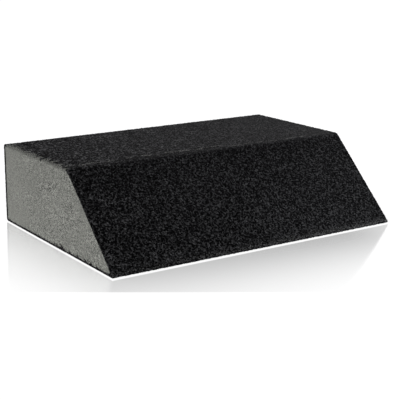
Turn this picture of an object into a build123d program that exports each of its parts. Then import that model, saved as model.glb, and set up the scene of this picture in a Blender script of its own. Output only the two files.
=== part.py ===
from build123d import *
import os

# Sanding sponge with one bevelled long edge: a block of resilient foam, and an abrasive coat that
# wraps its four long faces. Both ends are bare foam, where the block is cut to length.
# Length runs along X, the bevel faces -Y, and the block rests on its widest face, on Z = 0.

# Driving sizes, in millimetres, over the coat
LENGTH = 100.0  # from cut end to cut end
BASE_DEPTH = 70.0  # widest face, from the back to where the plane of the bevel meets the base
TOP_DEPTH = 44.0  # narrow face opposite, from the back to where the plane of the bevel meets it
HEIGHT = 25.0
COAT = 0.5  # grit and the resin that bonds it

# Easing of the four long edges, over the coat
BACK_RADIUS = 1.0
CREST_RADIUS = 2.2  # blunt edge between the top and the bevel
TOE_RADIUS = 0.4  # the acute edge that reaches into corners


def coated_section():
    """Right trapezium with eased corners, in depth and height, centred on its depth."""
    corners_and_radii = (
        ((0, 0), TOE_RADIUS),
        ((BASE_DEPTH, 0), BACK_RADIUS),
        ((BASE_DEPTH, HEIGHT), BACK_RADIUS),
        ((BASE_DEPTH - TOP_DEPTH, HEIGHT), CREST_RADIUS),
    )
    corners = [corner for corner, _ in corners_and_radii]
    radii = [radius for _, radius in corners_and_radii]
    section = make_face(FilletPolyline(*corners, radius=radii, close=True))
    return Pos(-section.bounding_box().center().X, 0) * section


def block(section):
    """The section carried along the whole length, half to each side of the middle."""
    return extrude(Plane.YZ * section, LENGTH / 2, both=True)


outside = coated_section()
inside = offset(outside, -COAT)

foam_block = block(inside)
abrasive_coat = block(outside) - foam_block

os.makedirs("parts", exist_ok=True)
for name, solid in (("foam_block", foam_block), ("abrasive_coat", abrasive_coat)):
    export_step(solid, f"parts/{name}.step")
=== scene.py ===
"""Sanding sponge: a grey foam block with one bevelled long edge, coated in black grit on its four long faces.

The two cut ends are bare foam. Length runs along X, the bevel faces -Y and the sponge lies on its widest
face."""

import math
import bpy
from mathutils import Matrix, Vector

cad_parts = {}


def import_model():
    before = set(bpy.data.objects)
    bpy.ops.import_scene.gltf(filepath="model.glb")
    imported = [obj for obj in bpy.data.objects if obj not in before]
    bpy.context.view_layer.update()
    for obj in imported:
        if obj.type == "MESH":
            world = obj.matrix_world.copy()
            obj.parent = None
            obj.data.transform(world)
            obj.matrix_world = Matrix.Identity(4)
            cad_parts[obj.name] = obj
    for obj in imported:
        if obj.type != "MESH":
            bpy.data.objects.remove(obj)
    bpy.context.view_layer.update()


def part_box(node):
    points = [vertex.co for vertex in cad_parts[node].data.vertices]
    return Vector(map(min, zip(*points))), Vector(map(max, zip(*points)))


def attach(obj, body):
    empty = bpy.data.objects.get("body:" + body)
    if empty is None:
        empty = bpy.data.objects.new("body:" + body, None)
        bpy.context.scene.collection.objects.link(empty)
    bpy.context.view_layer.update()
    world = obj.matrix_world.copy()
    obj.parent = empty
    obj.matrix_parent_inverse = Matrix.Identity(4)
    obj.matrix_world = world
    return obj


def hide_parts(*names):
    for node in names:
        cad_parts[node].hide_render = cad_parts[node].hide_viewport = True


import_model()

from types import SimpleNamespace

import bpy
import numpy as np
from bpy.props import FloatProperty, FloatVectorProperty, IntProperty, PointerProperty
from mathutils import Vector

bl_info = {
    "name": "Sanding Sponge",
    "version": (1, 0, 0),
    "blender": (4, 5, 0),
    "location": "3D View > Sidebar > Sanding Sponge",
    "description": "Builds a foam sanding sponge with a bevelled edge and an abrasive coat",
    "category": "Add Mesh",
}

COAT_LOW, COAT_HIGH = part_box("abrasive_coat")
FOAM_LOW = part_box("foam_block")[0]

MM = 0.001
FACES = ("base", "back", "top", "bevel")  # in their order round the section
MAP_NAME = "OFBake"
MAP_TOP = 0.985  # where a mesh's flat caps and sides lie in its texture map, above its worked surfaces
WHITE = (1.0, 1.0, 1.0, 1.0)
SHOWN = 0.78  # share of the grains' tones left by the painted shade in the pits and the finer grit over them


# ---- Sizes and colours that a user would change


def length_setting(name, description, millimetres):
    """A length in metres, shown with its unit, whose default is given in millimetres."""
    return FloatProperty(
        name=name, description=description, default=millimetres * MM, min=0.0, precision=5,
        subtype="DISTANCE", unit="LENGTH")


def colour_setting(name, description, rgb):
    """A scene-linear colour."""
    return FloatVectorProperty(
        name=name, description=description, default=rgb, size=3, min=0.0, max=1.0, subtype="COLOR")


def share_setting(name, description, share, most=1.0):
    """A plain number from nought up."""
    return FloatProperty(name=name, description=description, default=share, min=0.0, max=most)


def angle_setting(name, description, degrees):
    """An angle, kept in radians, whose default is given in degrees."""
    return FloatProperty(
        name=name, description=description, default=math.radians(degrees), subtype="ANGLE", unit="ROTATION")


class SpongeShape(bpy.types.PropertyGroup):
    """Overall sizes of the sponge, over its coat"""

    length: length_setting("Length", "From cut end to cut end", (COAT_HIGH.x - COAT_LOW.x) / MM)
    height: length_setting("Height", "From the base to the top", (COAT_HIGH.z - COAT_LOW.z) / MM)
    coat: length_setting("Coat", "Thickness of grit and resin together", (FOAM_LOW.z - COAT_LOW.z) / MM)
    base_depth: length_setting("Base depth", "From the back to where the bevel's plane meets the base", 70.0)
    top_depth: length_setting("Top depth", "From the back to where the bevel's plane meets the top", 44.0)
    back_radius: length_setting("Back radius", "Easing of the two square edges", 1.0)
    crest_radius: length_setting("Crest radius", "Easing of the blunt edge between top and bevel", 2.2)
    toe_radius: length_setting("Toe radius", "Easing of the acute edge under the bevel", 0.4)


class GritFinish(bpy.types.PropertyGroup):
    """How the abrasive coat is grained and coloured"""

    pitch: length_setting("Mesh pitch", "Between neighbouring points of the coat's mesh", 0.27)
    grain: length_setting("Grain", "Size of one abrasive grain", 0.37)
    cell: length_setting("Foam cell", "Size of the foam cells that the coat follows", 0.76)
    relief: length_setting("Relief", "From the deepest pit to the highest grain", 0.3)
    smear: length_setting("Smear", "How far the knife has spread the cut coat over the foam", 0.22)
    tooth: length_setting("Tooth", "Furthest that grit at a cut edge reaches over the foam", 1.8)
    pinch: length_setting("Pinch", "How much thicker the coat is where the bevel's edges are cut", 0.42)
    ragged: length_setting("Ragged edge", "How unevenly the coat is cut at the ends", 0.08)
    fray: length_setting("Fray", "How far the top's grit has come away from its cut edge", 2.6)
    grit: colour_setting("Grit", "Colour of the palest grains", (0.0885, 0.0878, 0.0913))
    resin: colour_setting("Resin", "Colour of the resin between the grains", (0.001, 0.001, 0.0011))
    # This colour serves the toe's worn grains and the crest's pale line, which is a painted highlight.
    worn: colour_setting("Worn grit", "Colour of the grains where they are rubbed", (0.14, 0.14, 0.135))
    contrast: share_setting("Contrast", "Power that sets the few pale grains apart from the dark", 1.7, 6.0)
    clump: length_setting("Clump", "Size of the clumps that the top's grains stand in", 1.0)
    clumping: share_setting("Clumping", "How far the top's grains are clumped at its -X end", 1.0)
    matting: share_setting("Matting", "How far the resin evens the top's grit at its +X end", 0.42)
    rim: share_setting("Dark rim", "How much darker the resin is by the back's edges and the +X end", 0.6)
    # These two set the pale specks of the toe's wear and of the crest's painted highlight, and how far behind
    # the crest that painted highlight lies, where its painted shade begins.
    wear: share_setting("Wear", "How much of the blunt edge is rubbed", 0.8)
    wear_reach: length_setting("Wear reach", "How far back over the top the blunt edge's wear begins", 4.0)
    seed: IntProperty(name="Seed", description="Picks the scatter of the grains", default=7)


class FoamFinish(bpy.types.PropertyGroup):
    """How the bare foam of the cut ends is grained and coloured"""

    pitch: length_setting("Mesh pitch", "Between neighbouring points of an end's mesh", 0.21)
    recess: length_setting("Recess", "How far the foam stands back from the coat at the ends", 0.1)
    pore: length_setting("Pore", "Size of one foam cell", 0.36)
    pore_depth: length_setting("Pore depth", "Depth of the cells cut open", 0.2)
    foam: colour_setting("Foam", "Colour of the foam", (0.202, 0.205, 0.188))
    # strength of the painted shade in the cut cells
    shade: share_setting("Pore shade", "How much darker the cut cells are", 0.4)
    dust: share_setting("Stray grit", "How much stray grit lies along the ends' borders", 0.6)
    seed: IntProperty(name="Seed", description="Picks the scatter of the cells", default=23)


class StudioSettings(bpy.types.PropertyGroup):
    """Camera, lights and floor"""

    azimuth: angle_setting("Azimuth", "Camera's angle round the sponge, from in front of the bevel", -33.417)
    elevation: angle_setting("Elevation", "Camera's angle above the floor", 13.221)
    distance: length_setting("Distance", "From the camera to the point it looks at", 325.253)
    aim: FloatVectorProperty(name="Aim", description="Point the camera looks at, from the middle of the base",
                             default=(-2.71 * MM, -0.3 * MM, 15.31 * MM),
                             subtype="TRANSLATION", unit="LENGTH")
    lens: FloatProperty(name="Lens", description="Focal length, in millimetres", default=93.028, min=10.0)
    shift: FloatVectorProperty(name="Lens shift", description="To the right and up, in picture widths",
                               default=(0.025, -0.06), size=2)
    key: share_setting("Key light", "Strength of the large lamp above and behind", 1.28, 10.0)
    side: share_setting("Side light", "Strength of the softbox at the right", 0.3, 10.0)
    front: share_setting("Front light", "Strength of the low softbox in front of the bevel", 0.33, 10.0)
    fill: share_setting("Fill light", "Strength of the light from all round", 0.2, 10.0)
    sheen: share_setting("Floor sheen", "How strongly the floor mirrors, at its strongest", 0.6)
    sheen_fade: length_setting("Sheen fade", "Distance before the sponge over which its image fades", 36.2)
    sheen_end: length_setting("Sheen end", "From the sponge's middle to the line where the sheen stops", 67.1)
    sheen_lean: angle_setting("Sheen lean", "Lean back of the floor's mirror, which draws out its image", 3.2)
    sheen_pale: length_setting("Sheen's pale end", "How far from the +X end the mirror image is paler", 14.0)
    gap: length_setting("Bright gap", "Width of the bright line between sponge and mirror image", 1.62)


# ---- The sponge's section, by the way round it and the depth under its surface


def section_frame(shape):
    """Corners, normals and stations of the section, in depth (Y) and height (Z).

    The four straight sides run base, back, top, bevel. Each corner is an arc that touches both sides, so its
    centre lies r / (1 + n0.n1) times (n0 + n1) inside the corner, where n0 and n1 are the sides' outward
    normals. Round the section, the way starts in the middle of the toe's arc."""
    back = COAT_HIGH.y
    corners = np.array([
        (back - shape.base_depth, 0.0),
        (back, 0.0),
        (back, shape.height),
        (back - shape.top_depth, shape.height),
    ]) + (0.0, COAT_LOW.z)
    radii = np.array([shape.toe_radius, shape.back_radius, shape.back_radius, shape.crest_radius])
    sides = np.roll(corners, -1, axis=0) - corners
    sides /= np.linalg.norm(sides, axis=1)[:, None]
    after = np.stack([sides[:, 1], -sides[:, 0]], axis=1)
    before = np.roll(after, 1, axis=0)
    cosine = (before * after).sum(axis=1)
    inwards = -(before + after) / (1.0 + cosine)[:, None]
    turn = np.arccos(cosine)
    start, end = (corners + inwards * radii[:, None] + side * radii[:, None] for side in (after, before))
    straight = np.linalg.norm(np.roll(end, -1, axis=0) - start, axis=1)
    arcs = turn * radii
    runs = np.stack([straight, np.roll(arcs, -1)], axis=1).ravel()
    stations = arcs[0] / 2 + np.concatenate([[0.0], np.cumsum(runs)])
    middles = np.concatenate([[0.0], (stations[1:-1:2] + stations[2::2]) / 2])
    return SimpleNamespace(corners=corners, radii=radii, before=before, after=after, inwards=inwards,
                           turn=turn, stations=stations, middles=middles, way=stations[-1] - stations[0])


def section_point(section, around, depth):
    """Points (Y, Z) of the section at a way round it and a depth under its outside, arrays of one shape.

    On a side the point is a blend of the side's two ends. On an arc it is the centre plus the radius, less
    the depth, along a normal that turns evenly. Once the depth has used up the radius, the arc's centre moves
    on inwards along the corner's bisector, so that the offset side stays parallel to the outside."""
    least = 0.02 * MM
    start = section.stations[0]
    way = (around - start) % section.way + start
    run = np.clip(np.searchsorted(section.stations, way, side="right") - 1, 0, 7)
    share = (way - section.stations[run]) / (section.stations[run + 1] - section.stations[run])

    def arc(corner, angle_share):
        """A point on a corner's arc, as far round its turn as the share says."""
        radius = section.radii[corner]
        left = np.maximum(radius - depth, least)
        past = radius + np.maximum(depth - (radius - least), 0.0)
        turn = section.turn[corner]
        weight_before = (np.sin((1.0 - angle_share) * turn) / np.sin(turn))[..., None]
        weight_after = (np.sin(angle_share * turn) / np.sin(turn))[..., None]
        normal = section.before[corner] * weight_before + section.after[corner] * weight_after
        centre = section.corners[corner] + section.inwards[corner] * past[..., None]
        return centre + normal * left[..., None]

    side = run // 2
    following = (side + 1) % 4
    on_side = arc(side, np.ones_like(share)) * (1.0 - share)[..., None]
    on_side = on_side + arc(following, np.zeros_like(share)) * share[..., None]
    on_arc = arc(following, share)
    return np.where((run % 2 == 0)[..., None], on_side, on_arc)


def face_at(section, around):
    """Which face each way round the section lies on, as its place in FACES."""
    return np.clip(np.searchsorted(section.middles, around, side="right") - 1, 0, 3)


# ---- Scatter, and falls with distance


def scattered_cells(across, along, size, span, seed):
    """Nearest of a scatter of points, one at a random place in each square of a lattice.

    across wraps round after span. Returns the distance to the nearest point, the two parts of the way from
    that point, and four random marks, from 0 to 1, that belong to it."""
    rows = max(3, round(span / size))
    step = span / rows
    low = np.floor(along.min() / step).astype(int) - 2
    columns = np.floor(along.max() / step).astype(int) + 3 - low
    rng = np.random.default_rng(seed)
    centres = rng.random((rows, columns, 2))
    marks = rng.random((rows, columns, 4))
    row, column = np.floor(across / step).astype(int), np.floor(along / step).astype(int)
    nearest = np.full(across.shape, np.inf)
    way_across, way_along = np.zeros_like(across), np.zeros_like(across)
    own = np.zeros(across.shape + (4,))
    for row_off in (-1, 0, 1):
        for column_off in (-1, 0, 1):
            at = (row + row_off) % rows, column + column_off - low
            from_across = across - (row + row_off + centres[at][..., 0]) * step
            from_along = along - (column + column_off + centres[at][..., 1]) * step
            distance = np.hypot(from_across, from_along)
            closer = distance < nearest
            nearest = np.where(closer, distance, nearest)
            way_across = np.where(closer, from_across, way_across)
            way_along = np.where(closer, from_along, way_along)
            own = np.where(closer[..., None], marks[at], own)
    return nearest / step, way_across / step, way_along / step, own


def eased(values, passes, axis=0):
    """Running average with weights 1, 2, 1 along a ring, repeated."""
    for _ in range(passes):
        values = (np.roll(values, 1, axis) + 2.0 * values + np.roll(values, -1, axis)) / 4.0
    return values


def wander(rng, size, passes, axis=0):
    """Random numbers eased along one axis, along which their average is 0 and their spread 1."""
    values = eased(rng.random(size), passes, axis)
    return (values - values.mean(axis, keepdims=True)) / values.std(axis, keepdims=True)


def bell(distance, breadth):
    """A fall from 1 with distance either way: e to the power of minus the square of distance over breadth."""
    return np.exp(-(distance / breadth) ** 2)


# ---- Meshes


def new_object(name, data):
    """A new object at the origin of the scene."""
    thing = bpy.data.objects.new(name, data)
    bpy.context.scene.collection.objects.link(thing)
    return thing


def mesh_piece(name, points, corners, totals, map_points, attributes):
    """A new object at the origin whose mesh has these points, polygons, texture map and point attributes."""
    mesh = bpy.data.meshes.new(name)
    mesh.vertices.add(len(points))
    mesh.vertices.foreach_set("co", points.astype(np.float32).ravel())
    mesh.loops.add(len(corners))
    mesh.loops.foreach_set("vertex_index", corners.astype(np.int32))
    mesh.polygons.add(len(totals))
    mesh.polygons.foreach_set("loop_start", (np.cumsum(totals) - totals).astype(np.int32))
    mesh.update(calc_edges=True)
    mesh.uv_layers.new(name=MAP_NAME).uv.foreach_set("vector", map_points.astype(np.float32).ravel())
    for key, values in attributes.items():
        layer = mesh.attributes.new(key, "FLOAT", "POINT")
        layer.data.foreach_set("value", values.astype(np.float32).ravel())
    if mesh.validate():
        raise RuntimeError(f"{name}: the mesh had faults")
    mesh.shade_smooth()
    mesh.set_sharp_from_angle(angle=math.radians(70))
    return new_object(name, mesh)


def closed_tube(name, points, map_at, attributes):
    """A closed mesh from a grid of points whose second way is a ring: quads round the tube and a flat cap at
    each end. map_at holds each grid cell's four corners in the texture map, and attributes are one number for
    each point. The caps lie side by side at the top of the map, as low arches."""
    rows, ring = points.shape[:2]
    index = np.arange(rows * ring).reshape(rows, ring)
    onward = np.roll(index, -1, axis=1)
    quads = np.stack([index[:-1], index[1:], onward[1:], onward[:-1]], axis=-1).reshape(-1, 4)
    caps = np.stack([index[0], index[-1][::-1]])
    corners = np.concatenate([quads.ravel(), caps.ravel()])
    totals = np.repeat([4, ring], [len(quads), 2])
    share = np.linspace(0.0, 1.0, ring)
    margin, breadth, rise, next_cap = 0.02, 0.4, 0.008, (0.5, 0.0)
    cap_map = np.stack([margin + breadth * share, MAP_TOP + rise * np.sin(math.pi * share)], axis=-1)
    maps = np.concatenate([map_at.reshape(-1, 2), cap_map, cap_map[::-1] + next_cap])
    return mesh_piece(name, points.reshape(-1, 3), corners, totals, maps, attributes)


def ring_map(rows, outer, count):
    """Each grid cell's corners in the texture map: the outside fills nearly all of it, beside a narrow band
    with the lips and the inside."""
    ring_share = np.concatenate([
        np.linspace(0.0, 0.93, outer),
        np.linspace(0.935, 0.999, count - outer + 1),
    ])
    row_share = np.linspace(0.0, 0.97, rows)
    corners = np.empty((rows - 1, count, 4, 2))
    corners[:, :, (0, 1), 0] = ring_share[:-1, None]
    corners[:, :, (2, 3), 0] = ring_share[1:, None]
    corners[:, :, (0, 3), 1] = row_share[:-1, None, None]
    corners[:, :, (1, 2), 1] = row_share[1:, None, None]
    return corners


def end_grids_joined(name, ends, attributes):
    """A closed mesh from two like grids that face away from each other, with quads from border to border."""
    rows, columns = ends[0].shape[:2]
    index = np.arange(rows * columns).reshape(rows, columns)
    across = np.stack([index[:-1, :-1], index[:-1, 1:], index[1:, 1:], index[1:, :-1]], axis=-1)
    across = across.reshape(-1, 4)
    border = np.concatenate([index[0, :-1], index[:-1, -1], index[-1, :0:-1], index[:0:-1, 0]])
    onward = np.roll(border, -1)
    shift = rows * columns
    sides = np.stack([border, onward, onward + shift, border + shift], axis=-1)
    quads = np.concatenate([across[:, ::-1], across + shift, sides])

    low, high, half, next_end = 0.005, 0.995, 0.475, (0.0, 0.49)
    u, v = np.meshgrid(np.linspace(low, high, columns), np.linspace(low, half, rows))
    flat = np.stack([u, v], axis=-1).reshape(-1, 2)
    side_share = np.linspace(low, high, len(border) + 1)
    side_map = np.empty((len(border), 4, 2))
    side_map[:, (0, 3), 0] = side_share[:-1, None]
    side_map[:, (1, 2), 0] = side_share[1:, None]
    side_map[:, (0, 1), 1] = MAP_TOP
    side_map[:, (2, 3), 1] = high
    maps = np.concatenate([flat[across[:, ::-1]], flat[across] + next_end, side_map])
    points = np.concatenate([end.reshape(-1, 3) for end in ends])
    values = {key: np.concatenate([part.ravel() for part in parts]) for key, parts in attributes.items()}
    return mesh_piece(name, points, quads.ravel(), np.full(len(quads), 4), maps.reshape(-1, 2), values)


# ---- The abrasive coat


def grit_surface(shape, finish):
    """Grid of the coat's outside, round the whole section and along the length.

    Each grain is a small tilted facet: its depth is a random level, plus a random slope times the way from
    its middle, plus a fall towards its rim. The grains ride on the swell of the foam's cells under them,
    which falls off with the square of the distance from each cell's middle. The relief lies half above and
    half below the nominal surface, which keeps the sponge's size."""
    section = section_frame(shape)
    rng = np.random.default_rng(finish.seed)
    counts = np.round(np.diff(section.middles) / finish.pitch).astype(int)
    first_rows = np.concatenate([[0], np.cumsum(counts)])
    around = np.concatenate([
        np.linspace(section.middles[k], section.middles[k + 1], counts[k], endpoint=False) for k in range(4)
    ])
    columns = round(shape.length / finish.pitch)
    along = np.linspace(-shape.length / 2, shape.length / 2, columns + 1)
    shaken = 0.7  # of the pitch
    shake = (rng.random((2, len(around), columns + 1)) - 0.5) * shaken * finish.pitch
    shake[0][first_rows[:-1]] = 0.0
    shake[1][:, [0, -1]] = 0.0
    around_grid = around[:, None] + shake[0]
    along_grid = along[None, :] + shake[1]

    (cell_rim, _, _, cell_marks), (rim, across_way, along_way, marks) = (
        scattered_cells(around_grid, along_grid, size, section.way, finish.seed + further)
        for further, size in ((1, finish.cell), (2, finish.grain))
    )
    slope = (marks[..., 1] - 0.5) * across_way + (marks[..., 2] - 0.5) * along_way
    depth = sum(weight * part for weight, part in (
        (0.4, marks[..., 0]),
        (0.6, slope),
        (0.3, rim ** 2),
        (0.25, cell_rim ** 2),
        (0.1, cell_marks[..., 0]),
        (0.12, rng.random(rim.shape)),
    ))
    # the pale line behind the crest is a painted highlight; the band beyond it gets painted shade through the
    # pit depth, on slightly sunk grit
    painted_highlight, lowered_and_shaded = worn_crest(section, around, along, shape, finish, rng)
    depth = np.clip(depth + 0.35 * lowered_and_shaded, 0.0, 1.0)
    matted, clumped = top_grit(section, around, along, shape)
    shares = {
        # pit is the relief's depth and also sets the painted shade in the pits; edge holds the crest's
        # painted highlight and the toe's wear
        "pit": depth,
        "edge": np.maximum(painted_highlight, worn_toe(section, around, along, shape)),
        "bare": frayed_grit(section, around, along, shape, finish, rng),
        "matted": matted,
        "clumped": clumped,
        "rim": resin_rim(section, around, along, shape),
    }
    ends = cut_edges(section, around, shape, finish, rng)
    return SimpleNamespace(section=section, first_rows=first_rows, around=around_grid, along=along_grid,
                           shares=shares, ends=ends)


def worn_crest(section, around, along, shape, finish, rng):
    """Painted light along the crest, as two shares from 0 to 1: a painted highlight, the pale line on the top
    behind the crest, and painted shade on slightly sunk grit beyond it.

    The line lies a set reach behind the crest at the -X end, and steps to under half of that past the middle.
    It wanders, comes and goes, and falls off as a bell with distance. The shaded, sunk grit begins over a
    short ramp, at the line or, past the middle, at the crest. A little below the crest it is a fifth
    shallower, and it dies away down the bevel as an exponential."""
    columns = len(along)
    step_at, step_breadth = 0.06 * shape.length, 0.03 * shape.length
    step_forward = 0.58  # of the reach
    line_breadth, ramp, fall = 1.0 * MM, 0.8 * MM, 12 * MM
    strongest = np.linspace(0.85, 0.67, columns)
    sway, waver = wander(rng, (2, columns), 24, axis=1)
    step = 0.5 + 0.5 * np.tanh((along - step_at) / step_breadth)
    reach = finish.wear_reach * (1.0 - step_forward * step) + 0.4 * MM * sway
    behind = section.middles[3] - around[:, None]
    line = strongest * np.clip(0.9 + 0.25 * waver, 0.3, 1.0) * bell(behind - reach, line_breadth)
    below = np.maximum(-behind - ramp, 0.0)
    lowered_and_shaded = np.clip((reach * (1.0 - step) - behind) / ramp, 0.0, 1.0)
    return line, lowered_and_shaded * np.where(below == 0.0, 1.0, 0.8) * np.exp(-below / fall)


def worn_toe(section, around, along, shape):
    """How far the bevel's grit is rubbed along the toe, from 0 to 1: a bell with the distance from the toe,
    higher towards +X."""
    strongest = 0.64 + 0.06 * along / (shape.length / 2)
    return strongest * bell(section.way - around[:, None], 2.8 * MM)


def top_grit(section, around, along, shape):
    """How far resin has evened the top's grit, more towards +X, and how far its grains stand in clumps, more
    towards -X, as two shares from 0 to 1. The bevel's do so too, but less."""
    bevel_matted, bevel_clumped = 0.2, 0.5
    past_back = np.clip((around - section.middles[2]) / MM, 0.0, 1.0)
    on_top = past_back * np.clip(1.0 + (section.middles[3] - around) / MM, 0.0, 1.0)
    on_bevel = (around > section.middles[3]) * (1.0 - on_top)
    share = 0.5 + 0.5 * along / (shape.length / 2)
    return ((on_top + bevel_matted * on_bevel)[:, None] * share,
            (on_top + bevel_clumped * on_bevel)[:, None] * (1.0 - share))


def resin_rim(section, around, along, shape):
    """How far a point lies in the dark rim, from 0 to 1: a bell with distance from either of the back's edges
    and from the cut edge at +X, broader by that one on the top."""
    end_breadth = np.array([0.5, 0.5, 1.0, 0.5])[face_at(section, around)][:, None] * MM  # in FACES order
    to_back = np.abs(around - section.middles[1:3, None]).min(axis=0)  # to either of its edges
    to_end = shape.length / 2 - along
    return np.maximum(bell(to_back, 1.3 * MM)[:, None], bell(to_end, end_breadth))


def frayed_grit(section, around, along, shape, finish, rng):
    """How far the top's grit has come away, from 0 to 1: three quarters of it by the cut edge at -X, and none
    beyond a distance that wanders along the edge, with a ramp between."""
    most, ramp, crest_margin = 0.75, 1.4 * MM, 1.0 * MM
    on_top = (around > section.middles[2]) & (around < section.middles[3] - crest_margin)
    sway = np.clip(1.0 + 0.35 * wander(rng, (len(around), 1), 6), 0.2, 2.0)
    reach = finish.fray * eased(on_top.astype(float), 5)[:, None] * sway
    return most * np.clip((reach - (shape.length / 2 + along)) / ramp, 0.0, 1.0)


def cut_edges(section, around, shape, finish, rng):
    """Thickness that the coat shows at each cut end, at each station round the section.

    It is the coat's own thickness plus a smear over the foam, with teeth: a random height at each station to
    a high power, so that most are low, and most of them along the front half of the base. At the toe and the
    crest the coats of two faces are pinched together, which falls off as a bell with distance."""
    smear = np.array([0.15, 0.9, 0.1, 0.1])  # both in FACES order
    toothed = np.array([1.0, 0.2, 0.4, 0.12])
    first, last, ramp, elsewhere = 34 * MM, 64 * MM, 5 * MM, 0.3  # stretch of the base, from the back
    face = face_at(section, around)
    from_back = np.abs(around - section.middles[1])
    front_half = np.clip(np.minimum(from_back - first, last - from_back) / ramp, elsewhere, 1.0)
    amount = eased(toothed[face] * np.where(face < 2, front_half, 1.0), 12)
    teeth = rng.random((2, len(around))) ** 6
    patches = eased(rng.random((2, len(around))), 14, axis=1)
    patches = (patches - patches.min()) / np.ptp(patches)
    from_toe = np.minimum(around, section.way - around)
    pinched = bell(from_toe, 1.8 * MM) + 0.9 * bell(around - section.middles[3], 1.5 * MM)
    spread = finish.smear * eased(smear[face], 4) + finish.pinch * pinched
    return shape.coat + spread + finish.tooth * amount * teeth * (0.25 + 1.2 * patches)


def coat_face(surface, k, shape, finish, foam_recess):
    """One long face of the coat, as a closed plate: grit outside, a lip at each cut end that reaches over the
    foam's border, and a plain inside. It meets its neighbours point to point, in the middle of the section's
    arcs."""
    section = surface.section
    rows = np.arange(surface.first_rows[k], surface.first_rows[k + 1] + 1) % len(surface.around)
    around = surface.around[rows]
    if rows[-1] == 0:
        around[-1] += section.way
    middle = np.linspace(section.middles[k], section.middles[k + 1], len(rows))[:, None]
    outside = np.concatenate([
        surface.along[rows][..., None],
        section_point(section, around, (surface.shares["pit"][rows] - 0.5) * finish.relief),
    ], axis=-1)
    outside[..., 2] = np.maximum(outside[..., 2], COAT_LOW.z)  # its lowest grit is pressed flat

    rng = np.random.default_rng(finish.seed + 31)
    uneven = (rng.random((2, len(surface.around), 3)) - 0.5) * finish.ragged
    half = shape.length / 2
    inside_depth = np.full_like(middle, shape.coat)

    def lip(end, sign):
        """Points of the cut edge, from the outside in, for the end on that side."""
        thick = surface.ends[end][rows][:, None]
        jag = uneven[end][rows]
        seat = np.full_like(middle, sign * (half - foam_recess))
        stops = (
            (sign * half + jag[:, :1], 0.45 * thick),
            (sign * half + jag[:, 1:2] - sign * 0.3 * foam_recess, 0.9 * thick),
            (seat + sign * 0.25 * foam_recess, thick),
            (seat, thick),
            (seat, inside_depth),
        )
        return [np.concatenate([x[..., None], section_point(section, middle, depth)], axis=-1)
                for x, depth in stops]

    ring = np.concatenate([outside, *lip(1, 1.0), *lip(0, -1.0)[::-1]], axis=1)
    count, outer = ring.shape[1], outside.shape[1]
    hidden = (len(rows), count - outer)
    both_ends = np.minimum(1.35 * surface.shares["bare"][rows][:, [-1, 0]], 1.0)
    lips = {
        "pit": 0.5,
        # painted highlight where the crest meets the lips
        "edge": 0.6 * bell(middle - section.middles[3], 1.0 * MM),
        "bare": np.repeat(both_ends, hidden[1] // 2, axis=1),
    }
    attributes = {key: np.concatenate([values[rows], np.broadcast_to(lips.get(key, 0.0), hidden)], axis=1)
                  for key, values in surface.shares.items()}
    return closed_tube(f"coat_{FACES[k]}", ring, ring_map(len(rows), outer, count), attributes)


# ---- The foam block


def foam_piece(shape, finish):
    """The foam block as one closed mesh: a grid over each cut end, and flat sides between their borders.

    An end's rows run at even heights from the section's front outline to its back one. Its points sink by
    the depth of the cells cut open: a bowl, one less the square of the distance from the middle, as deep as
    the cell's own mark says, with fine unevenness over it. Stray grit crowds towards the borders as an
    exponential with distance."""
    clearance, samples = 0.01 * MM, 6000
    bowl_breadth, dust_fall = 0.62, 0.9 * MM
    repeat = 64 * finish.pore  # height after which the scatter of cells begins again
    section = section_frame(shape)
    way = np.linspace(0.0, section.way, samples)
    outline = section_point(section, way, np.full_like(way, shape.coat + clearance))
    low, high = outline[:, 1].min(), outline[:, 1].max()
    back_part = (way >= section.stations[1]) & (way <= section.stations[4])
    front_part = way >= section.stations[5]
    rows = round((high - low) / finish.pitch)
    columns = round(np.ptp(outline[:, 0]) / finish.pitch)
    heights = np.linspace(low, high, rows + 1)
    back = np.interp(heights, outline[back_part, 1], outline[back_part, 0])[:, None]
    front = np.interp(heights, outline[front_part, 1][::-1], outline[front_part, 0][::-1])[:, None]
    share = np.linspace(0.0, 1.0, columns + 1)
    inner = np.zeros((rows + 1, columns + 1))
    inner[1:-1, 1:-1] = 1.0
    rng = np.random.default_rng(finish.seed)

    ends, shades, borders = [], [], []
    for sign in (-1, 1):
        shake = (rng.random((2, rows + 1, columns + 1)) - 0.5) * 0.5 * finish.pitch * inner
        y = front * (1.0 - share) + back * share + shake[0]
        z = heights[:, None] + shake[1]
        rim, _, _, marks = scattered_cells(z, y, finish.pore, repeat, finish.seed + sign + 5)
        bowl = np.clip(1.0 - (rim / bowl_breadth) ** 2, 0.0, 1.0) * marks[..., 0] ** 1.5
        sunk = 0.7 * bowl + 0.3 * rng.random(bowl.shape)
        x = sign * (shape.length / 2 - finish.recess - finish.pore_depth * sunk * inner)
        ends.append(np.stack([x, y, z], axis=-1))
        shades.append(sunk)
        borders.append(np.max([amount * np.exp(-away / dust_fall) for amount, away in (
            (0.75, high - z),
            (0.8, z - low),
            (0.25, y - front),
            (0.3, back - y),
        )], axis=0))
    return end_grids_joined("foam", ends, {"pit": shades, "edge": borders})


# ---- Shader nodes


def add_node(tree, kind, settings=None, **inputs):
    """A new node with its settings and its inputs. An input that is another node's value is linked."""
    node = tree.nodes.new(kind)
    for key, value in (settings or {}).items():
        setattr(node, key, value)
    for key, value in inputs.items():
        socket = node.inputs[int(key[1:]) if key[1:].isdigit() else key.replace("_", " ")]
        if isinstance(value, Value):
            tree.links.new(value.socket, socket)
        else:
            socket.default_value = value
    return node


def math_method(operation, swapped=False):
    """A method of Value that adds one math node, in which the value stands first or, swapped, second."""
    def method(value, other=0.0):
        first, second = (other, value) if swapped else (value, other)
        return Value(add_node(value.tree, "ShaderNodeMath", {"operation": operation}, i0=first, i1=second))
    return method


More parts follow.
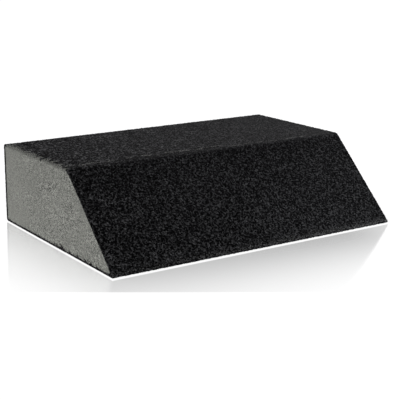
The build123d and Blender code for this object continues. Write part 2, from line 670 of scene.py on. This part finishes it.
class Value:
    """What one output of a shader node gives. A sum written with it adds math nodes to its tree."""

    def __init__(self, node, output=0):
        self.socket = node.outputs[output]
        self.tree = node.id_data

    __add__ = math_method("ADD")
    __sub__ = math_method("SUBTRACT")
    __rsub__ = math_method("SUBTRACT", swapped=True)
    __mul__ = math_method("MULTIPLY")
    __truediv__ = math_method("DIVIDE")
    __rtruediv__ = math_method("DIVIDE", swapped=True)
    __pow__ = math_method("POWER")
    __abs__ = math_method("ABSOLUTE")
    or_more = math_method("MAXIMUM")
    exponent = math_method("EXPONENT")

    def held(self):
        """The same value, which its math node now holds between 0 and 1."""
        self.socket.node.use_clamp = True
        return self


def remap(value, low, high, to_low=0.0, to_high=1.0):
    """A value carried from one range to another and held inside it."""
    return Value(add_node(value.tree, "ShaderNodeMapRange", {"clamp": True}, Value=value, From_Min=low,
                          From_Max=high, To_Min=to_low, To_Max=to_high), "Result")


def between(share, first, last):
    """A value that runs from first to last as a share runs from 0 to 1."""
    return remap(share, 0.0, 1.0, first, last)


def blend_colours(share, first, second):
    """Two colours mixed by a share."""
    mix = add_node(share.tree, "ShaderNodeMix", {"data_type": "RGBA"}, i0=share, i6=first, i7=second)
    return Value(mix, 2)


def blend_values(share, first, second):
    """Two values mixed by a share."""
    mix = add_node(share.tree, "ShaderNodeMix", {"data_type": "FLOAT"}, i0=share, i2=first, i3=second)
    return Value(mix)


def scaled(colour, factor):
    """A colour times a value."""
    return Value(add_node(factor.tree, "ShaderNodeVectorMath", {"operation": "SCALE"},
                          i0=colour, Scale=factor))


def attribute(tree, name):
    """One number that the mesh holds at each point."""
    return Value(add_node(tree, "ShaderNodeAttribute", {"attribute_name": name}), "Fac")


def bump(height, strength):
    """A surface normal tilted by a height that is 0.1 mm for each unit."""
    return Value(add_node(height.tree, "ShaderNodeBump", Strength=strength, Distance=0.1 * MM, Height=height))


def seen(tree):
    """1 for what is seen directly, in a mirror or through something clear, and 0 for what only lights."""
    path = tree.nodes.new("ShaderNodeLightPath")
    mirrored, through = Value(path, "Is Glossy Ray"), Value(path, "Is Transmission Ray")
    return Value(path, "Is Camera Ray").or_more(mirrored.or_more(through))


def new_group(name, **numbers):
    """An empty shader group, and its inputs by name: coordinates, and numbers with their defaults."""
    tree = bpy.data.node_groups.new(name, "ShaderNodeTree")
    tree.interface.new_socket("Coordinates", in_out="INPUT", socket_type="NodeSocketVector")
    for label, default in numbers.items():
        socket = tree.interface.new_socket(label, in_out="INPUT", socket_type="NodeSocketFloat")
        socket.default_value = default
    node = tree.nodes.new("NodeGroupInput")
    return tree, {label: Value(node, label) for label in ("Coordinates", *numbers)}


def finish_group(tree, **results):
    """The group, which now gives out the results by their names."""
    for label in results:
        tree.interface.new_socket(label, in_out="OUTPUT", socket_type="NodeSocketFloat")
    add_node(tree, "NodeGroupOutput", **results)
    return tree


def noise(tree, given, detail):
    """Smooth unevenness from 0 to 1, of the size that a group is given."""
    return Value(add_node(tree, "ShaderNodeTexNoise", {"noise_dimensions": "3D"}, Vector=given["Coordinates"],
                          Scale=1.0 / given["Size"], Detail=detail, Roughness=0.6), "Fac")


def crumbs():
    """Crumbs of one size: a random tone for each, its height, which falls off towards its rim, and a mask of
    round holes, one in the middle of each crumb, that are wider the darker the crumb."""
    tree, given = new_group("crumbs", Size=0.4 * MM)
    cells = add_node(tree, "ShaderNodeTexVoronoi", {"voronoi_dimensions": "3D", "feature": "F1"},
                     Vector=given["Coordinates"], Scale=1.0 / given["Size"], Randomness=1.0)
    distance = Value(cells, "Distance")
    parts = add_node(tree, "ShaderNodeSeparateColor", i0=Value(cells, "Color"))
    tone, lift = Value(parts, 0), Value(parts, 1) * 0.5
    hole = (between(tone, 0.52, 0.36) - distance) * 14.0
    return finish_group(tree, Tone=tone, Height=1.0 - distance + lift, Hole=hole.held())


def mottle():
    """Slow unevenness: a value about 1 that strays by the given amount over the given size."""
    tree, given = new_group("mottle", Size=10 * MM, Amount=0.1)
    strayed = (noise(tree, given, 3.0) - 0.5) * 2.0 * given["Amount"]
    return finish_group(tree, Factor=strayed + 1.0)


def edge_specks():
    """Specks that crowd towards an edge: a mask of noise above a bar, which nearness to the edge lowers."""
    tree, given = new_group("edge_specks", Nearness=0.0, Size=0.4 * MM, Amount=0.5)
    bar = 0.82 - given["Nearness"] * given["Amount"] * 0.6
    mask = (noise(tree, given, 2.0) - bar) * 9.0
    return finish_group(tree, Mask=mask.held())


def place(effect, coordinates, **values):
    """What a shared effect gives, by name, with a material's own values. Its group is built only once."""
    group = bpy.data.node_groups.get(effect.__name__) or effect()
    node = add_node(coordinates.tree, "ShaderNodeGroup", {"node_tree": group},
                    Coordinates=coordinates, **values)
    return {output.name: Value(node, output.name) for output in node.outputs}


def new_material(name):
    """A material without nodes, its tree, and the Object coordinates in it."""
    material = bpy.data.materials.new(name)
    material.use_nodes = True
    tree = material.node_tree
    tree.nodes.clear()
    return material, tree, Value(tree.nodes.new("ShaderNodeTexCoord"), "Object")


def grit_material(finish, foam):
    """Black abrasive: dark grains of many tones with finer grit between them, resin and painted shade in the
    pits, paler grains that are a painted highlight along the crest and wear along the toe, and the foam's
    grey where it is frayed."""
    material, tree, coordinates = new_material("abrasive_grit")
    sizes = (finish.grain, finish.grain * 0.45, finish.cell, finish.clump)
    coarse, fine, pits, clumps = (place(crumbs, coordinates, Size=size) for size in sizes)
    drift = place(mottle, coordinates, Size=12 * MM, Amount=0.2)

    crushed = between(fine["Tone"], 0.4, 1.0)
    tone = coarse["Tone"] ** finish.contrast * crushed
    # painted shade: the deeper a point lies in the relief, the darker its grains, down to half
    level = tone * (1.0 - pits["Hole"]) * remap(attribute(tree, "pit"), 0.8, 0.3, 0.5, 1.0)
    clump = (1.0 - clumps["Hole"] * 0.8) * between(clumps["Tone"], 0.4, 2.4)
    level = level * blend_values(attribute(tree, "clumped") * finish.clumping, 1.0, clump)
    even = SHOWN / (1.0 + finish.contrast)
    level = blend_values(attribute(tree, "matted") * finish.matting, level, even)
    level = level * (1.0 - attribute(tree, "rim") * finish.rim)
    colour = blend_colours(level, (*finish.resin, 1.0), (*finish.grit, 1.0))
    # pale specks of the crest's painted highlight and of the toe's wear, then bare foam where the grit is
    # frayed
    for name, amount, paint in (("edge", finish.wear, finish.worn), ("bare", 0.8, foam.foam)):
        near = attribute(tree, name)
        specks = place(edge_specks, coordinates, Nearness=near, Size=finish.grain, Amount=amount)
        colour = blend_colours(specks["Mask"] * crushed, colour, (*paint, 1.0))
    shader = add_node(tree, "ShaderNodeBsdfPrincipled", Base_Color=scaled(colour, drift["Factor"]),
                      Roughness=between(coarse["Tone"], 0.9, 0.55), Specular_IOR_Level=0.005,
                      Normal=bump(coarse["Height"], 0.8))
    add_node(tree, "ShaderNodeOutputMaterial", Surface=Value(shader))
    return material


def foam_material(foam, grit):
    """Grey foam: fine cells with painted shade where they are cut open, which is less so towards the back,
    with stray grit along the borders."""
    material, tree, coordinates = new_material("grey_foam")
    cells, fine = (place(crumbs, coordinates, Size=foam.pore * share) for share in (0.75, 0.45))
    drift = place(mottle, coordinates, Size=9 * MM, Amount=0.08)
    patches = place(mottle, coordinates, Size=7 * MM, Amount=1.6)
    near = attribute(tree, "edge")
    stray = place(edge_specks, coordinates, Nearness=near, Size=grit.grain, Amount=foam.dust)

    depth = Value(add_node(tree, "ShaderNodeSeparateXYZ", i0=coordinates), "Y")
    opened = remap(depth, COAT_HIGH.y - 26 * MM, COAT_HIGH.y - 6 * MM, 1.0, 0.5)
    # painted shade in the cut-open cells: the deeper the cell, the darker
    shaded = 1.0 - attribute(tree, "pit") * foam.shade * opened
    uneven = between(cells["Tone"], -0.6, 0.67) * patches["Factor"] * opened
    finest = between(fine["Tone"], -0.25, 0.25) * opened
    factor = shaded * ((uneven + 1.0) * (finest + 1.0)) * drift["Factor"]
    colour = blend_colours(stray["Mask"], scaled(tuple(foam.foam), factor), (*grit.resin, 1.0))
    shader = add_node(tree, "ShaderNodeBsdfPrincipled", Base_Color=colour, Roughness=0.95,
                      Specular_IOR_Level=0.1, Normal=bump(cells["Height"], 0.6))
    add_node(tree, "ShaderNodeOutputMaterial", Surface=Value(shader))
    return material


def floor_material(studio, shape):
    """White floor with a soft shadow and, past a thin bright gap, the sponge's mirror image. In the gap more
    of the floor glows, a painted line of light that lightens the shadow there. The image fades with the
    distance from the sponge, and evenly towards the camera, and stops at a line. It is paler by the sponge's
    +X end, and a little paler before its cut ends than before its faces."""
    material, tree, coordinates = new_material("studio_floor")
    parts = add_node(tree, "ShaderNodeSeparateXYZ", i0=coordinates)
    x, y = Value(parts, "X"), Value(parts, "Y")
    sight = Vector((-math.sin(studio.azimuth), math.cos(studio.azimuth), 0.0))

    def before(way, half, along_sight):
        """How far a point lies before the sponge's side, along the line of sight over the floor."""
        return (abs(way) - half) / max(abs(along_sight), 0.05)

    def fall(distance, breadth, power):
        """A fall from 1: e to the power of minus a power of the distance over the breadth."""
        return ((distance / breadth).or_more(0.0) ** power * -1.0).exponent()

    before_end = before(x, shape.length / 2, sight.x)
    before_face = before(y, (COAT_HIGH.y - COAT_LOW.y) / 2, sight.y)
    away = before_end.or_more(before_face)
    by_end = remap(before_end - before_face, -MM, MM)
    nearer = x * -sight.x + y * -sight.y
    in_gap = remap(away, studio.gap - 0.4 * MM, studio.gap + 0.4 * MM, 1.0, 0.0)
    pale_end = fall(shape.length / 2 - x, studio.sheen_pale, 2.0)
    fade = fall(away, studio.sheen_fade, 1.6) * between(pale_end, 1.0, 0.6) * between(by_end, 1.0, 0.88)
    level = remap(nearer, 0.0, studio.sheen_end, studio.sheen, 0.6 * studio.sheen)
    stops = remap(nearer, studio.sheen_end - 0.5 * MM, studio.sheen_end + 0.5 * MM, 1.0, 0.0)
    mirrored = fade * level * (stops * (1.0 - in_gap))

    paint = Value(add_node(tree, "ShaderNodeBsdfDiffuse", Color=(0.92, 0.92, 0.92, 1.0)))
    glow = Value(add_node(tree, "ShaderNodeEmission", Color=WHITE, Strength=1.05))
    # painted light: in the bright gap more of the floor glows, which lightens the sponge's shadow there
    glowing = seen(tree) * between(in_gap, 0.7, 0.86)
    lit = Value(add_node(tree, "ShaderNodeMixShader", i0=glowing, i1=paint, i2=glow))
    lean = studio.sheen_lean
    leaning = Value(add_node(tree, "ShaderNodeCombineXYZ", X=sight.x * math.sin(lean),
                             Y=sight.y * math.sin(lean), Z=math.cos(lean)))
    gloss = Value(add_node(tree, "ShaderNodeBsdfGlossy", Color=WHITE, Roughness=0.09, Normal=leaning))
    shader = add_node(tree, "ShaderNodeMixShader", i0=mirrored.held(), i1=lit, i2=gloss)
    add_node(tree, "ShaderNodeOutputMaterial", Surface=Value(shader))
    return material


# ---- Studio


def add_camera(studio):
    """Camera turned about the vertical by its azimuth and raised by its elevation. Its lens is shifted a
    little, as on a view camera."""
    middle = (COAT_LOW + COAT_HIGH) / 2
    target = Vector((middle.x, middle.y, COAT_LOW.z)) + Vector(studio.aim)
    azimuth, elevation = studio.azimuth, studio.elevation
    back = Vector((math.sin(azimuth) * math.cos(elevation), -math.cos(azimuth) * math.cos(elevation),
                   math.sin(elevation)))
    data = bpy.data.cameras.new("camera")
    data.lens = studio.lens
    data.sensor_width = 36.0
    data.shift_x, data.shift_y = studio.shift
    data.clip_start = 0.01
    data.clip_end = 20.0
    camera = new_object("camera", data)
    camera.location = target + back * studio.distance
    camera.rotation_euler = (-back).to_track_quat("-Z", "Y").to_euler()
    bpy.context.scene.camera = camera


def add_lamp(name, kind, towards, power, **settings):
    """A lamp of one kind, turned to shine on the sponge from the direction given."""
    data = bpy.data.lights.new(name, kind)
    data.energy = power
    for key, value in settings.items():
        setattr(data, key, value)
    lamp = new_object(name, data)
    lamp.rotation_euler = Vector(towards).to_track_quat("Z", "Y").to_euler()
    return lamp


def add_sun(name, towards, strength, spread):
    """A broad lamp at no particular distance, in the direction given from the sponge."""
    add_lamp(name, "SUN", towards, strength * math.pi, angle=math.radians(spread))


def add_softbox(name, place, size, strength, colour=(1.0, 1.0, 1.0)):
    """A square lamp at a place in metres from the sponge, turned towards it. Its power is its strength at the
    sponge times pi, as for a sun, times the square of its distance, and times pi for its half sphere."""
    power = strength * math.pi * Vector(place).length_squared * math.pi
    add_lamp(name, "AREA", place, power, size=size, color=colour).location = place


def add_world(studio):
    """Even light from all round. What is seen directly, or mirrored, is plain white."""
    world = bpy.data.worlds.new("studio_world")
    bpy.context.scene.world = world
    world.use_nodes = True
    tree = world.node_tree
    tree.nodes.clear()
    strength = between(seen(tree), studio.fill, 1.0)
    light = add_node(tree, "ShaderNodeBackground", Color=WHITE, Strength=strength)
    add_node(tree, "ShaderNodeOutputWorld", Surface=Value(light))


def add_floor(studio, shape):
    """A broad flat floor at the height of the sponge's base."""
    half = 6.0
    mesh = bpy.data.meshes.new("floor")
    corners = [(x * half, y * half, COAT_LOW.z) for x, y in ((-1, -1), (1, -1), (1, 1), (-1, 1))]
    mesh.from_pydata(corners, [], [(0, 1, 2, 3)])
    mesh.materials.append(floor_material(studio, shape))
    new_object("floor", mesh)


# ---- Operators


def place_piece(piece, node, material):
    """Puts a finished piece on the body, in the place of its CAD node, with its material."""
    piece.data.materials.append(material)
    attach(piece, "root")
    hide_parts(node)


class SPONGE_OT_foam(bpy.types.Operator):
    """Add the foam block, with its cells cut open at both ends"""

    bl_idname = "sponge.foam"
    bl_label = "Foam block"

    def execute(self, context):
        scene = context.scene
        piece = foam_piece(scene.sponge_shape, scene.sponge_foam)
        place_piece(piece, "foam_block", foam_material(scene.sponge_foam, scene.sponge_grit))
        return {"FINISHED"}


class SPONGE_OT_coat(bpy.types.Operator):
    """Add the abrasive coat, one plate of grit for each long face"""

    bl_idname = "sponge.coat"
    bl_label = "Abrasive coat"

    def execute(self, context):
        scene = context.scene
        shape, finish = scene.sponge_shape, scene.sponge_grit
        surface = grit_surface(shape, finish)
        material = grit_material(finish, scene.sponge_foam)
        for k in range(len(FACES)):
            piece = coat_face(surface, k, shape, finish, scene.sponge_foam.recess)
            place_piece(piece, "abrasive_coat", material)
        return {"FINISHED"}


class SPONGE_OT_studio(bpy.types.Operator):
    """Add the floor, the lights and the camera"""

    bl_idname = "sponge.studio"
    bl_label = "Studio"

    def execute(self, context):
        scene = context.scene
        studio = scene.sponge_studio
        add_floor(studio, scene.sponge_shape)
        add_world(studio)
        add_sun("key_light", (-0.35, 0.62, 0.7), studio.key, 60)
        add_softbox("side_light", (0.17, -0.06, 0.09), 0.08, studio.side)
        add_softbox("front_light", (0.1, -0.15, 0.012), 0.06, studio.front, (0.86, 0.92, 1.0))
        add_camera(studio)
        scene.view_settings.view_transform = "Standard"
        return {"FINISHED"}


class SPONGE_PT_panel(bpy.types.Panel):
    """Sizes, colours and build buttons of the sanding sponge"""

    bl_idname = "SPONGE_PT_panel"
    bl_label = "Sanding Sponge"
    bl_space_type = "VIEW_3D"
    bl_region_type = "UI"
    bl_category = "Sanding Sponge"

    def draw(self, context):
        for group in PROPERTY_GROUPS:
            box = self.layout.box()
            settings = getattr(context.scene, group)
            for name in settings.bl_rna.properties.keys():
                if name not in ("rna_type", "name"):
                    box.prop(settings, name)
        for operator in (SPONGE_OT_foam, SPONGE_OT_coat, SPONGE_OT_studio):
            self.layout.operator(operator.bl_idname)


PROPERTY_GROUPS = {
    "sponge_shape": SpongeShape,
    "sponge_grit": GritFinish,
    "sponge_foam": FoamFinish,
    "sponge_studio": StudioSettings,
}
CLASSES = (*PROPERTY_GROUPS.values(), SPONGE_OT_foam, SPONGE_OT_coat, SPONGE_OT_studio, SPONGE_PT_panel)


def register():
    for cls in CLASSES:
        bpy.utils.register_class(cls)
    for name, group in PROPERTY_GROUPS.items():
        setattr(bpy.types.Scene, name, PointerProperty(type=group))


def unregister():
    for name in PROPERTY_GROUPS:
        delattr(bpy.types.Scene, name)
    for cls in reversed(CLASSES):
        bpy.utils.unregister_class(cls)


def main():
    """Builds the sponge and its studio."""
    register()
    bpy.ops.sponge.foam()
    bpy.ops.sponge.coat()
    bpy.ops.sponge.studio()


if __name__ == "__main__":
    main()
